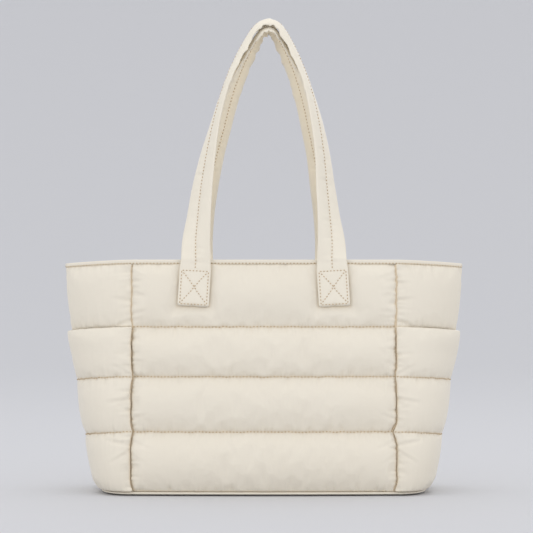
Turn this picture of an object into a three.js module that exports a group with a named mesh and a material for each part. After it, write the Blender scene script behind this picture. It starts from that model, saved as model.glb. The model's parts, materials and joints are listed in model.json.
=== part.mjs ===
// A puffer tote bag: a padded, quilted body that stands on its own base and is open at the top,
// with a slip pocket over each side and two long shoulder straps that rise to one point.
// Millimetres, +Z up, the front faces -Y, and the origin is on the floor under the bag's middle.
import * as THREE from "three";

// The body
const RIM_WIDTH = 446; // between the gussets' outer folds, just under the band along the rim
const BASE_WIDTH = 363; // across the bottom seam
const RIM_DEPTH = 88; // between the front and back corner seams, at the rim
const BASE_DEPTH = 134; // between the front and back corner seams, at the bottom
const BODY_HEIGHT = 261; // from the floor to the top of the rim
const PANEL_WIDTH = 294; // between the two vertical seams of the front
const PANEL_BOW = 5; // how far the front stands forward between its vertical seams
const GUSSET_SAG = 7.5; // how far a gusset's outer fold hangs below its vertical seams
const SEAM_WALL = 3; // thickness of the padded wall where it is stitched flat
const LINING_PUFF = 2; // how far a quilted row swells into the bag
const SEAM_ROLL = 26; // width over which a row rolls down to a vertical seam
const CLEARANCE = 0.3; // between pieces that touch on the real bag

// The quilting: how far the rows of each piece swell out of their seams
const PANEL_PUFF = 9;
const GUSSET_PUFF = 7;
const POCKET_PUFF = 6;
const POCKET_BED = 1; // what is left of the gusset's own swell behind a pocket
const POCKET_GAPE = 3; // how far a pocket's mouth stands away from the gusset

// The base and the rim
const BASE_HEIGHT = 4.4;
const BASE_EDGE = 1.7; // height of the base's rounded edges
const BASE_INSET = 4; // from the base's widest line in to its flat faces
const BASE_PROUD = 1.8; // how far the base's edge stands out of the wall
const RIM_BAND = 4.5; // height of the folded band along the rim
const RIM_PROUD = 1; // how far that band stands out of the wall

// The straps
const STRAP_WIDTH = 33;
const STRAP_THICKNESS = 5;
const STRAP_SPACING = 151; // between the middles of one strap's two sides, at the rim
const STRAP_HEIGHT = 271; // from the rim up to the middle of the strap at its highest point
const STRAP_SHIFT = 6; // how far that point lies to the right
const STRAPS_APART = 8.8; // most that the back strap hangs inside the front one
const STRAP_CURL = 36; // degrees that half the strap's width curls down at the top
const TAB_WIDTH = 35; // the flattened, stitched end of a strap
const TAB_LENGTH = 40;
const TAB_DROP = 12; // from the top of the rim down to a tab's upper stitching
const TAB_SPLAY = 3; // how much further out the foot of a tab stands than the strap at the rim
const TAB_SEAT = 2.5; // swell of the panel under a tab
const TAB_MARGIN = 3; // flat border of the panel round a tab
const TAB_DIMPLE = 14; // width over which the panel swells up again beyond that border

const SEAM_X = PANEL_WIDTH / 2;
const WALL_BOTTOM = BASE_HEIGHT + CLEARANCE;
const WALL_TOP = BODY_HEIGHT - RIM_BAND - CLEARANCE;
const STRAP_X = STRAP_SPACING / 2;
const TAB_TOP = BODY_HEIGHT - TAB_DROP;
const TAB_BOTTOM = TAB_TOP - TAB_LENGTH;
const CLOTH = { color: 0xe9e2d3, roughness: 0.62, metalness: 0 };

// The body's sections. up: share of the wall's height. spread: share of the way from BASE_WIDTH to
// RIM_WIDTH. lean: share of the way from BASE_DEPTH to RIM_DEPTH. round: 1 where the gusset is a
// round corner in plan, 0 where it is folded flat. bow and sag: shares of PANEL_BOW and GUSSET_SAG.
const SECTIONS = [
  { up: 0.0, spread: 0.0, lean: 0.0, round: 1.0, bow: 0.8, sag: 0.0 },
  { up: 0.04, spread: 0.07, lean: 0.01, round: 1.0, bow: 0.9, sag: 0.45 },
  { up: 0.1, spread: 0.13, lean: 0.04, round: 0.98, bow: 1.0, sag: 0.75 },
  { up: 0.262, spread: 0.34, lean: 0.16, round: 0.9, bow: 1.0, sag: 1.0 },
  { up: 0.503, spread: 0.58, lean: 0.4, round: 0.66, bow: 1.0, sag: 0.82 },
  { up: 0.722, spread: 0.83, lean: 0.67, round: 0.4, bow: 0.8, sag: 0.76 },
  { up: 1.0, spread: 1.0, lean: 1.0, round: 0.16, bow: 0.5, sag: 0.55 },
];

// The quilted rows, from the bottom seam to the rim. low and high: shares of the wall's height.
// swell: share of the piece's own puff. steps: how finely the row is cut.
const QUILT_ROWS = [
  { low: 0.0, high: 0.262, swell: 1.0, steps: 5 },
  { low: 0.262, high: 0.503, swell: 0.95, steps: 5 },
  { low: 0.503, high: 0.722, swell: 0.9, steps: 5 },
  { low: 0.722, high: 1.0, swell: 0.8, steps: 6 },
];
const POCKET_ROWS = QUILT_ROWS.slice(0, 3);
const GAPE_FROM = 0.6; // share of the wall's height above which a pocket's mouth opens
const ROW_FULLNESS = 0.6; // power of the sine across a row: below 1 is fuller than a half round
const CORNER_HANDLE = 0.66; // length of the handles of a gusset's round corner, as shares
const SAG_POWER = 1.4; // above 1, a gusset's rows hang mostly near their outer fold
const FOLD_SWELL = 0.1; // share of the swell that is left on a gusset's outer fold
const LINE_STEPS = 14; // steps round each gusset for the base and the rim, twice those of a panel
const BAND_SHOULDER = 0.7; // share of the rim band's height where it starts to round over

// The straps above the rim. rise: share of STRAP_HEIGHT. reach: share of STRAP_X. shift: share of
// STRAP_SHIFT. left and right: how far the front strap's two sides have turned from facing forwards
// (0) to facing up (1), and back: the same for the back strap. apart: share of STRAPS_APART, which
// the back strap hangs inside the front one. curl: share of STRAP_CURL.
const STRAP_ARCH = [
  { rise: 0.0, reach: 1.0, shift: 0.0, left: 0.0, right: 0.0, back: 0.0, apart: 0.0, curl: 0.0 },
  { rise: 0.05, reach: 1.0, shift: 0.0, left: 0.12, right: 0.16, back: 0.14, apart: 0.03, curl: 0.0 },
  { rise: 0.18, reach: 0.96, shift: 0.0, left: 0.39, right: 0.44, back: 0.42, apart: 0.22, curl: 0.0 },
  { rise: 0.28, reach: 0.923, shift: 0.02, left: 0.49, right: 0.53, back: 0.5, apart: 0.44, curl: 0.0 },
  { rise: 0.43, reach: 0.855, shift: 0.25, left: 0.65, right: 0.65, back: 0.59, apart: 0.74, curl: 0.0 },
  { rise: 0.585, reach: 0.754, shift: 0.45, left: 0.83, right: 0.75, back: 0.66, apart: 1.0, curl: 0.2 },
  { rise: 0.737, reach: 0.608, shift: 0.6, left: 0.93, right: 0.89, back: 0.7, apart: 0.97, curl: 0.5 },
  { rise: 0.845, reach: 0.454, shift: 0.7, left: 0.935, right: 0.93, back: 0.8, apart: 0.93, curl: 0.8 },
  { rise: 0.92, reach: 0.318, shift: 0.78, left: 0.95, right: 0.95, back: 0.88, apart: 0.92, curl: 1.0 },
  { rise: 0.972, reach: 0.198, shift: 0.85, left: 0.97, right: 0.97, back: 0.94, apart: 0.93, curl: 1.0 },
  { rise: 0.992, reach: 0.105, shift: 0.92, left: 0.99, right: 0.99, back: 0.97, apart: 0.95, curl: 1.0 },
  { rise: 1.0, reach: 0.0, shift: 1.0, left: 1.0, right: 1.0, back: 1.0, apart: 0.95, curl: 1.0 },
];
const STRAP_STEPS = 40;
const FLAT = 0.001; // the least curl, in place of none, so that the section stays an arc

// The strap's section from one edge to the other. across: share of half its width. thick: share of
// STRAP_THICKNESS. The dip in the middle is the seam that runs along the strap.
const STRAP_SECTION = [
  { across: -1.0, thick: 0.35 },
  { across: -0.72, thick: 0.95 },
  { across: -0.3, thick: 0.95 },
  { across: 0.0, thick: 0.5 },
  { across: 0.3, thick: 0.95 },
  { across: 0.72, thick: 0.95 },
  { across: 1.0, thick: 0.35 },
];

const { lerp, clamp, smoothstep, degToRad } = THREE.MathUtils;

// The value of a table's column at a place between two of its rows.
function readTable(table, key, column, at) {
  const above = table.findIndex((row) => row[key] >= at);
  if (above === 0) return table[0][column];
  if (above < 0) return table[table.length - 1][column];
  const low = table[above - 1];
  const high = table[above];
  return lerp(low[column], high[column], (at - low[key]) / (high[key] - low[key]));
}

const section = (column, up) => readTable(SECTIONS, "up", column, up);
const seamDepth = (up) => lerp(BASE_DEPTH, RIM_DEPTH, section("lean", up)) / 2;
const halfWidth = (up) => lerp(BASE_WIDTH, RIM_WIDTH, section("spread", up)) / 2;
const heightAt = (up) => lerp(WALL_BOTTOM, WALL_TOP, up);
const shareAt = (height) => (height - WALL_BOTTOM) / (WALL_TOP - WALL_BOTTOM);

// Evenly spaced values from low to high, without the first one when it is the last of another run.
function run(low, high, steps, skipFirst = false) {
  const values = Array.from({ length: steps + 1 }, (_, i) => lerp(low, high, i / steps));
  return skipFirst ? values.slice(1) : values;
}

// How full a quilted row is at a height: 0 on its seams, up to the row's own swell between them.
function rowSwell(rows, up) {
  const row = rows.find(({ high }) => up <= high) ?? rows[rows.length - 1];
  const share = clamp((up - row.low) / (row.high - row.low), 0, 1);
  return row.swell * Math.sin(Math.PI * share) ** ROW_FULLNESS;
}

// How full it is at a distance from a vertical seam.
function seamRoll(distance) {
  return Math.sin((Math.PI / 2) * clamp(distance / SEAM_ROLL, 0, 1)) ** ROW_FULLNESS;
}

// A point of the front (side -1) or back (side 1) wall, out from the surface that its seams lie in.
function panelPoint(side, x, up, out) {
  const bow = PANEL_BOW * section("bow", up) * (1 - (x / SEAM_X) ** 2);
  return new THREE.Vector3(x, side * (seamDepth(up) + bow + out), heightAt(up));
}

// A point of the left (side -1) or right (side 1) gusset. turn runs from -1 at the front seam
// through 0 at the outer fold to 1 at the back seam.
function gussetPoint(side, turn, up, out) {
  const reach = halfWidth(up) - SEAM_X;
  const depth = seamDepth(up);
  const round = section("round", up);
  const flat = Math.hypot(reach, depth);
  const start = new THREE.Vector2(0, depth + out * lerp(flat / reach, 1, round));
  const end = new THREE.Vector2(reach + out * lerp(flat / depth, 1, round), 0);
  const corner = new THREE.Vector2(end.x, start.y);
  const leave = start.clone().lerp(end, 1 / 3);
  const arrive = start.clone().lerp(end, 2 / 3);
  leave.lerp(start.clone().lerp(corner, CORNER_HANDLE), round);
  arrive.lerp(end.clone().lerp(corner, CORNER_HANDLE), round);
  const plan = new THREE.CubicBezierCurve(start, leave, arrive, end).getPoint(1 - Math.abs(turn));
  const sag = GUSSET_SAG * section("sag", up) * (1 - Math.abs(turn)) ** SAG_POWER;
  const x = side * (SEAM_X + CLEARANCE + plan.x);
  return new THREE.Vector3(x, Math.sign(turn) * plan.y, heightAt(up) - sag);
}

// One closed solid from rows of points, where each row is an outer line and an inner line with the
// same number of points. looped joins the last row to the first.
function wallGeometry(rows, looped = false) {
  const across = rows[0].outer.length;
  const ring = 2 * across;
  const positions = rows.flatMap(({ outer, inner }) =>
    [...outer, ...inner.slice().reverse()].flatMap((point) => point.toArray()),
  );
  const faces = [];
  const quad = (a, b, c, d) => faces.push(a, b, c, a, c, d);
  for (let i = 0; i < (looped ? rows.length : rows.length - 1); i++) {
    const here = i * ring;
    const next = ((i + 1) % rows.length) * ring;
    for (let j = 0; j < ring; j++) {
      const k = (j + 1) % ring;
      // Both faces are cut along the same diagonals, so that two walls can lie against each other.
      if (j < across) quad(here + j, here + k, next + k, next + j);
      else quad(here + k, next + k, next + j, here + j);
    }
  }
  if (!looped) {
    const last = (rows.length - 1) * ring;
    for (let j = 0; j < across - 1; j++) {
      const k = ring - 1 - j;
      quad(j, k, k - 1, j + 1);
      quad(last + j, last + j + 1, last + k - 1, last + k);
    }
  }
  const geometry = new THREE.BufferGeometry();
  geometry.setAttribute("position", new THREE.Float32BufferAttribute(positions, 3));
  geometry.setIndex(faces);
  return geometry;
}

// A named mesh. turnedOut reverses the faces of a wall whose points run the other way round.
function piece(name, geometry, turnedOut = false) {
  if (turnedOut) {
    const index = geometry.index.array;
    for (let i = 0; i < index.length; i += 3) [index[i], index[i + 1]] = [index[i + 1], index[i]];
  }
  geometry.computeVertexNormals();
  const mesh = new THREE.Mesh(geometry, new THREE.MeshStandardMaterial(CLOTH));
  mesh.name = name;
  return mesh;
}

// The middle of a tab at a height.
function tabX(height) {
  return STRAP_X + TAB_SPLAY * clamp((BODY_HEIGHT - height) / (BODY_HEIGHT - TAB_BOTTOM), 0, 1);
}

// How much of the panel's swell a strap's tab presses flat: 1 under it, 0 well away from it.
function tabPress(x, height) {
  const beside = Math.max(0, Math.abs(Math.abs(x) - tabX(height)) - TAB_WIDTH / 2 - TAB_MARGIN);
  const below = Math.max(0, TAB_BOTTOM - TAB_MARGIN - height);
  return 1 - smoothstep(Math.hypot(beside, below), 0, TAB_DIMPLE);
}

// Front or back panel: four quilted rows between the vertical seams.
function panel(name, side) {
  const columnsAt = (height) => {
    const tabInside = tabX(height) - TAB_WIDTH / 2 - TAB_MARGIN;
    const tabOutside = tabX(height) + TAB_WIDTH / 2 + TAB_MARGIN;
    const half = [
      ...run(0, tabInside, 3),
      ...run(tabInside, tabOutside, 2, true),
      ...run(tabOutside, SEAM_X, 4, true),
    ];
    return [...half.slice(1).reverse().map((x) => -x), ...half];
  };
  const tabFoot = shareAt(TAB_BOTTOM - TAB_MARGIN);
  const top = QUILT_ROWS[3];
  const ups = [
    ...QUILT_ROWS.slice(0, 3).flatMap(({ low, high, steps }, i) => run(low, high, steps, i > 0)),
    ...run(top.low, tabFoot, top.steps / 2, true),
    ...run(tabFoot, top.high, top.steps / 2, true),
  ];
  const rows = ups.map((up) => {
    const columns = columnsAt(heightAt(up));
    const swell = (x) => rowSwell(QUILT_ROWS, up) * seamRoll(SEAM_X - Math.abs(x));
    const out = (x) => lerp(PANEL_PUFF * swell(x), TAB_SEAT, tabPress(x, heightAt(up)));
    return {
      outer: columns.map((x) => panelPoint(side, x, up, out(x))),
      inner: columns.map((x) => panelPoint(side, x, up, -SEAM_WALL - LINING_PUFF * swell(x))),
    };
  });
  return piece(name, wallGeometry(rows), side > 0);
}

// Places across a gusset, from the front seam round the outer fold to the back seam.
const GUSSET_TURNS = [0, 0.1, 0.25, 0.45, 0.65, 0.83, 0.95, 1];
const gussetTurns = [
  ...GUSSET_TURNS.map((share) => share - 1),
  ...GUSSET_TURNS.slice(0, -1).reverse().map((share) => 1 - share),
];

// How full a gusset's rows are across it: 0 on the vertical seams, and nearly flat on the fold.
function gussetSwell(turn) {
  const share = 1 - Math.abs(turn);
  return Math.max(Math.sin(Math.PI * share) ** ROW_FULLNESS, FOLD_SWELL * smoothstep(share, 0, 1));
}

// Rows of a wall that follows the gusset between two heights, from its inner to its outer face.
function gussetWall(side, ups, inside, outside) {
  const line = (up, out) => gussetTurns.map((turn) => gussetPoint(side, turn, up, out(turn, up)));
  return ups.map((up) => ({ outer: line(up, outside), inner: line(up, inside) }));
}

// The heights at which a gusset and its pocket are both cut, so that they lie against each other.
const pocketUps = POCKET_ROWS.flatMap(({ low, high, steps }, i) => run(low, high, steps - 1, i > 0));

// Side gusset: plain and pressed flat behind its pocket, and one puffed row above it.
function gusset(name, side) {
  const top = QUILT_ROWS[3];
  const ups = [...pocketUps, ...run(top.low, top.high, top.steps, true)];
  const outside = (turn, up) => {
    const swell = up <= top.low ? 0 : gussetSwell(turn) * rowSwell(QUILT_ROWS, up);
    return lerp(POCKET_BED, GUSSET_PUFF, swell);
  };
  const inside = () => -SEAM_WALL;
  return piece(name, wallGeometry(gussetWall(side, ups, inside, outside)), side < 0);
}

// Side pocket: three quilted rows over the gusset, open along the top.
function pocket(name, side) {
  const inside = (turn, up) => {
    const open = smoothstep(up, GAPE_FROM, POCKET_ROWS[2].high) * Math.sin(Math.PI * Math.abs(turn));
    return POCKET_BED + CLEARANCE + POCKET_GAPE * open;
  };
  const outside = (turn, up) =>
    inside(turn, up) + SEAM_WALL + POCKET_PUFF * gussetSwell(turn) * rowSwell(POCKET_ROWS, up);
  return piece(name, wallGeometry(gussetWall(side, pocketUps, inside, outside)), side < 0);
}

// The line right round the body at a height, anticlockwise from above, out from the seam surface.
function bodyLine(up, out) {
  const xs = run(-SEAM_X, SEAM_X, LINE_STEPS / 2);
  const turns = run(-1, 1, LINE_STEPS).slice(1, -1);
  return [
    ...xs.map((x) => panelPoint(-1, x, up, out)),
    ...turns.map((turn) => gussetPoint(1, turn, up, out)),
    ...xs.reverse().map((x) => panelPoint(1, x, up, out)),
    ...turns.reverse().map((turn) => gussetPoint(-1, turn, up, out)),
  ];
}

// Folded band round the rim, on the top edges of the panels and the gussets.
function rimBand(name) {
  const proud = [RIM_PROUD, RIM_PROUD, RIM_PROUD / 2];
  const lifts = [0, BAND_SHOULDER, 1].map((share) => CLEARANCE + RIM_BAND * share);
  const raised = (out) => lifts.map((lift, i) =>
    bodyLine(1, out(proud[i])).map((point) => point.add(new THREE.Vector3(0, 0, lift))));
  const outer = raised((swell) => swell);
  const inner = raised((swell) => -SEAM_WALL - swell);
  const rows = outer[0].map((_, i) => ({
    outer: outer.map((line) => line[i]),
    inner: inner.map((line) => line[i]),
  }));
  return piece(name, wallGeometry(rows, true), true);
}

// Padded base: the plan of the bottom seam with rounded edges and a flat underside.
function base(name) {
  const line = bodyLine(0, 0).map(({ x, y }) => new THREE.Vector2(x, y));
  const geometry = new THREE.ExtrudeGeometry(new THREE.Shape(line), {
    depth: BASE_HEIGHT - 2 * BASE_EDGE,
    bevelThickness: BASE_EDGE,
    bevelSize: BASE_INSET,
    bevelOffset: BASE_PROUD - BASE_INSET,
    bevelSegments: 2,
  });
  geometry.translate(0, 0, BASE_EDGE);
  return piece(name, geometry);
}

// The middle line of a strap, from the foot of its left tab over the top to the foot of its right.
function strapLine(side) {
  const seat = TAB_SEAT + CLEARANCE + STRAP_THICKNESS / 2;
  const onPanel = (x, height) => panelPoint(side, x, Math.min(shareAt(height), 1), seat).setZ(height);
  const rimY = onPanel(STRAP_X, BODY_HEIGHT).y;
  const leg = (mirror) => [
    ...run(TAB_BOTTOM, BODY_HEIGHT, 3).slice(0, -1).map((height) => onPanel(mirror * tabX(height), height)),
    ...STRAP_ARCH.map(({ rise, reach, shift }) => new THREE.Vector3(
      mirror * STRAP_X * reach + STRAP_SHIFT * shift,
      rimY * (1 - rise),
      BODY_HEIGHT + STRAP_HEIGHT * rise,
    )),
  ];
  return new THREE.CatmullRomCurve3([...leg(-1), ...leg(1).slice(0, -1).reverse()], false, "centripetal");
}

// Shoulder strap: faces forwards at its tabs, turns as it rises, and curls over at the top.
function strap(name, side) {
  const line = strapLine(side);
  const tabTurn = Math.atan((2 * PANEL_BOW * STRAP_X * section("bow", 1)) / SEAM_X ** 2);
  const rows = run(0, 1, STRAP_STEPS).map((share) => {
    const middle = line.getPointAt(share);
    const along = line.getTangentAt(share);
    const rise = clamp((middle.z - BODY_HEIGHT) / STRAP_HEIGHT, 0, 1);
    const arch = (column) => readTable(STRAP_ARCH, "rise", column, rise);
    const facing = new THREE.Vector3(0, side, 0).addScaledVector(along, -side * along.y).normalize();
    const outwards = new THREE.Vector3(-along.z, 0, along.x).normalize();
    const leg = share < 0.5 ? "left" : "right";
    const turn = lerp(tabTurn, Math.PI / 2, arch(side > 0 ? "back" : leg));
    const normal = facing.clone().multiplyScalar(Math.cos(turn)).addScaledVector(outwards, Math.sin(turn));
    const wide = outwards.clone().multiplyScalar(Math.cos(turn)).addScaledVector(facing, -Math.sin(turn));
    if (side > 0) middle.addScaledVector(outwards, -STRAPS_APART * arch("apart"));
    const onTab = 1 - smoothstep(middle.z, TAB_TOP, BODY_HEIGHT);
    const half = lerp(STRAP_WIDTH, TAB_WIDTH, onTab) / 2;
    const curl = degToRad(STRAP_CURL) * Math.max(arch("curl"), FLAT);
    const place = ({ across, thick }, face) => {
      const bend = across * curl;
      const up = normal.clone().multiplyScalar(Math.cos(bend)).addScaledVector(wide, Math.sin(bend));
      const flatBack = face < 0 ? lerp(thick, 1, onTab) : thick;
      return middle.clone()
        .addScaledVector(wide, (half / curl) * Math.sin(bend))
        .addScaledVector(normal, -(half / curl) * (1 - Math.cos(bend)))
        .addScaledVector(up, (face * flatBack * STRAP_THICKNESS) / 2);
    };
    return {
      outer: STRAP_SECTION.map((spot) => place(spot, 1)),
      inner: STRAP_SECTION.map((spot) => place(spot, -1)),
    };
  });
  return piece(name, wallGeometry(rows), side < 0);
}

const bag = new THREE.Group();
bag.add(
  base("base_panel"),
  panel("front_panel", -1),
  panel("back_panel", 1),
  gusset("gusset_left", -1),
  gusset("gusset_right", 1),
  pocket("side_pocket_left", -1),
  pocket("side_pocket_right", 1),
  rimBand("rim_band"),
  strap("strap_front", -1),
  strap("strap_back", 1),
);

export default bag;
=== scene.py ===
# %% [markdown]
# # A puffer tote bag
# The bag is sewn from padded cloth: a base, a front, a back and two gussets, with a slip pocket over
# each gusset and two long shoulder straps. Its looks come from how it is sewn. Each row of quilting is
# held flat along its stitches and swells between them, and the cloth that is too long for the thread
# stands in small gathers along every seam. So the padded pieces are inflated here by a cloth
# simulation that is pinned along the seams, and the straps are modelled directly.
#
# The first step loads the solid model as a fixed frame, in metres. Every piece takes a solid's place.

# %% Load the frame
import json
import math
import bmesh
import bpy
from mathutils import Matrix, Vector, noise
from mathutils.kdtree import KDTree

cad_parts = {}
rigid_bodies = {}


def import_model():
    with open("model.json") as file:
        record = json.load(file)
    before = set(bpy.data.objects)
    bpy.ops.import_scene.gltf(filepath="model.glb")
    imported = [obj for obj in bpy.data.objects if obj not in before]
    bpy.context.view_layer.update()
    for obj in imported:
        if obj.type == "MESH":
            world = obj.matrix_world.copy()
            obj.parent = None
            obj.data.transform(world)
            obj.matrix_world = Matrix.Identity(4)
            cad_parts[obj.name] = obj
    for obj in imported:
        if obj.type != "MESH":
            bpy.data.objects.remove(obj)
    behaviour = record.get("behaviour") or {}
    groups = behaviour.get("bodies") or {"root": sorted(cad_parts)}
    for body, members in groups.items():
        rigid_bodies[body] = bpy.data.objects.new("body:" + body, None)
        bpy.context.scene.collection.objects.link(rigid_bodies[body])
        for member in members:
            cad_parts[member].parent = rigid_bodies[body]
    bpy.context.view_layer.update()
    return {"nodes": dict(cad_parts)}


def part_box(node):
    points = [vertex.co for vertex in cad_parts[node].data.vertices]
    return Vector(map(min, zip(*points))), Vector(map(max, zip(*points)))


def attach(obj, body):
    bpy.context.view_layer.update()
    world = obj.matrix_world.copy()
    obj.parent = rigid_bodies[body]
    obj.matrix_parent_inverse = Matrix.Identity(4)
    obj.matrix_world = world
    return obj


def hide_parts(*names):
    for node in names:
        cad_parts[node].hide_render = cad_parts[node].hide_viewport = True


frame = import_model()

scene = bpy.context.scene
MM = 0.001
print("solids:", sorted(frame["nodes"]))

# %% [markdown]
# ## Sizes
# A bag maker works from a cutting table: the finished width at the top and the bottom, the depth, the
# height of each row. The same sizes made the solid model. What can be read from the solids is read
# from them, and the rest is written here once, so that the cloth lies where the solids are.

# %% Sizes of the body
PANEL_LOW, PANEL_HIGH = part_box("front_panel")
SEAM_X = PANEL_HIGH.x
WALL_BOTTOM = PANEL_LOW.z
WALL_TOP = PANEL_HIGH.z
BODY_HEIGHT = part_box("rim_band")[1].z

RIM_WIDTH = 446 * MM
BASE_WIDTH = 363 * MM
RIM_DEPTH = 88 * MM
BASE_DEPTH = 134 * MM
PANEL_BOW = 5 * MM
GUSSET_SAG = 7.5 * MM
CLEARANCE = 0.3 * MM
SEAM_WALL = 3 * MM
LINING_PUFF = 2 * MM
print(f"body: {RIM_WIDTH:.3f} m wide at the rim, {BODY_HEIGHT:.3f} m high")

# %% [markdown]
# The body's form is a short table of sections from the bottom seam to the rim. Each column is a share
# of one of the sizes above. `spread` opens the bag towards the rim, `lean` draws its depth in, and
# `round` turns the gusset from a round corner at the base into a folded one at the rim.

# %% Tables of the body
SECTIONS = [
    {"up": 0.0, "spread": 0.0, "lean": 0.0, "round": 1.0, "bow": 0.8, "sag": 0.0},
    {"up": 0.04, "spread": 0.07, "lean": 0.01, "round": 1.0, "bow": 0.9, "sag": 0.45},
    {"up": 0.1, "spread": 0.13, "lean": 0.04, "round": 0.98, "bow": 1.0, "sag": 0.75},
    {"up": 0.262, "spread": 0.34, "lean": 0.16, "round": 0.9, "bow": 1.0, "sag": 1.0},
    {"up": 0.503, "spread": 0.58, "lean": 0.4, "round": 0.66, "bow": 1.0, "sag": 0.82},
    {"up": 0.722, "spread": 0.83, "lean": 0.67, "round": 0.4, "bow": 0.8, "sag": 0.76},
    {"up": 1.0, "spread": 1.0, "lean": 1.0, "round": 0.16, "bow": 0.5, "sag": 0.55},
]
ROWS = [
    {"low": 0.0, "high": 0.262, "swell": 1.0},
    {"low": 0.262, "high": 0.503, "swell": 0.95},
    {"low": 0.503, "high": 0.722, "swell": 0.9},
    {"low": 0.722, "high": 1.0, "swell": 0.8},
]


def mix(low, high, share):
    return low + (high - low) * share


def clamp(value, low=0.0, high=1.0):
    return max(low, min(high, value))


def ease(value, low, high):
    """0 at low, 1 at high, with soft ends."""
    share = clamp((value - low) / (high - low))
    return share * share * (3 - 2 * share)


def hump(off, width):
    """1 on a line, and softly down to 0 away from it."""
    return math.exp(-((off / width) ** 2))


def read(table, key, column, at):
    """The value of a table's column at a place between its rows, on a smooth line through them."""
    if at <= table[0][key]:
        return table[0][column]
    if at >= table[-1][key]:
        return table[-1][column]
    place = next(i for i in range(1, len(table)) if table[i][key] >= at)
    steps = [table[i + 1][key] - table[i][key] for i in range(len(table) - 1)]
    slopes = [(table[i + 1][column] - table[i][column]) / steps[i] for i in range(len(steps))]

    def tangent(i):
        if i == 0 or i == len(slopes):
            return slopes[min(i, len(slopes) - 1)]
        before, after = slopes[i - 1], slopes[i]
        return 0.0 if before * after <= 0 else 2 * before * after / (before + after)

    step = steps[place - 1]
    share = (at - table[place - 1][key]) / step
    low, high = table[place - 1][column], table[place][column]
    bend = share * (1 - share) * step
    start = tangent(place - 1) * (1 - share)
    end = tangent(place) * share
    return mix(low, high, share * share * (3 - 2 * share)) + bend * (start - end)


def run(low, high, steps):
    return [mix(low, high, i / steps) for i in range(steps + 1)]


# %% [markdown]
# ## Where the cloth is sewn
# Two functions give every seam its place: one for the front and back, one for the gussets. Both take
# a height as a share of the wall and a distance out from the surface in which the seams lie, so that
# cloth, lining, pocket and rim all follow one form and can't drift apart.

# %% Points of the body
def section(column, up):
    return read(SECTIONS, "up", column, up)


def height_at(up):
    return mix(WALL_BOTTOM, WALL_TOP, up)


def share_at(height):
    return (height - WALL_BOTTOM) / (WALL_TOP - WALL_BOTTOM)


def seam_depth(up):
    return mix(BASE_DEPTH, RIM_DEPTH, section("lean", up)) / 2


def panel_point(side, x, up, out):
    """A point of the front (side -1) or back (side 1)."""
    bow = PANEL_BOW * section("bow", up) * (1 - (x / SEAM_X) ** 2)
    return Vector((x, side * (seam_depth(up) + bow + out), height_at(up)))


CORNER_HANDLE = 0.66
SAG_POWER = 1.4


def gusset_point(side, turn, up, out):
    """A point of the left (side -1) or right (side 1) gusset, whose turn runs from -1 at the front
    seam through 0 at the outer fold to 1 at the back seam."""
    reach = mix(BASE_WIDTH, RIM_WIDTH, section("spread", up)) / 2 - SEAM_X
    depth = seam_depth(up)
    round_ = section("round", up)
    flat = math.hypot(reach, depth)
    start = Vector((0, depth + out * mix(flat / reach, 1, round_)))
    end = Vector((reach + out * mix(flat / depth, 1, round_), 0))
    corner = Vector((end.x, start.y))
    leave = start.lerp(end, 1 / 3).lerp(start.lerp(corner, CORNER_HANDLE), round_)
    arrive = start.lerp(end, 2 / 3).lerp(end.lerp(corner, CORNER_HANDLE), round_)
    t = 1 - abs(turn)
    plan = start * (1 - t) ** 3 + leave * 3 * t * (1 - t) ** 2
    plan = plan + arrive * 3 * t * t * (1 - t) + end * t ** 3
    x = side * (SEAM_X + CLEARANCE + plan.x)
    sag = GUSSET_SAG * section("sag", up) * t ** SAG_POWER
    return Vector((x, math.copysign(plan.y, turn), height_at(up) - sag))


def full(share, power=0.5):
    """How full a stitched row is at a share of the way across it."""
    return math.sin(math.pi * clamp(share)) ** power


def row_swell(rows, up):
    row = next((r for r in rows if up <= r["high"]), rows[-1])
    return row["swell"] * full((up - row["low"]) / (row["high"] - row["low"]))


# %% [markdown]
# ## Inflating the rows
# Padded cloth could be drawn with displacement alone, but its creases would then look drawn. Here
# each outer skin is a fine grid that is pinned along its stitches. The cloth solver gets a rest size
# one or two per cent larger than the grid, so that the skin has to buckle where it is held, and a
# little pressure from behind. The helpers below lay out such a grid and get it ready for the solver.

# %% Cloth skins
CELL = 3.2 * MM
BORDER = 1.1 * MM
FRAMES = 22
GROWTH = 0.014
PRESSURE = 4.0
skins = []


def new_piece(name, shape):
    """Turn a bmesh into a smooth object of its own."""
    mesh = bpy.data.meshes.new(name)
    shape.to_mesh(mesh)
    shape.free()
    piece = bpy.data.objects.new(name, mesh)
    scene.collection.objects.link(piece)
    mesh.shade_smooth()
    return piece


def sewn_grid(columns, ups, place):
    """A grid with one vertex for each column and height, each moved to its sewn place."""
    shape = bmesh.new()
    bmesh.ops.create_grid(shape, x_segments=len(columns) - 1, y_segments=len(ups) - 1, size=0.5)
    shape.verts.ensure_lookup_table()
    for index, vertex in enumerate(shape.verts):
        row, column = divmod(index, len(columns))
        vertex.co = place(columns[column], ups[row])
    return shape


def with_borders(low, high, length):
    """Even steps between two seams, with a narrow border cell along each of them."""
    border = (high - low) * BORDER / length
    steps = round((length - 2 * BORDER) / CELL)
    return [low] + run(low + border, high - border, steps) + [high]


def cut_row(rows, height):
    """Heights of a skin, with a line of vertices on every quilting seam."""
    ups = [rows[0]["low"]]
    for row in rows:
        ups += with_borders(row["low"], row["high"], (row["high"] - row["low"]) * height)[1:]
    return ups


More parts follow.
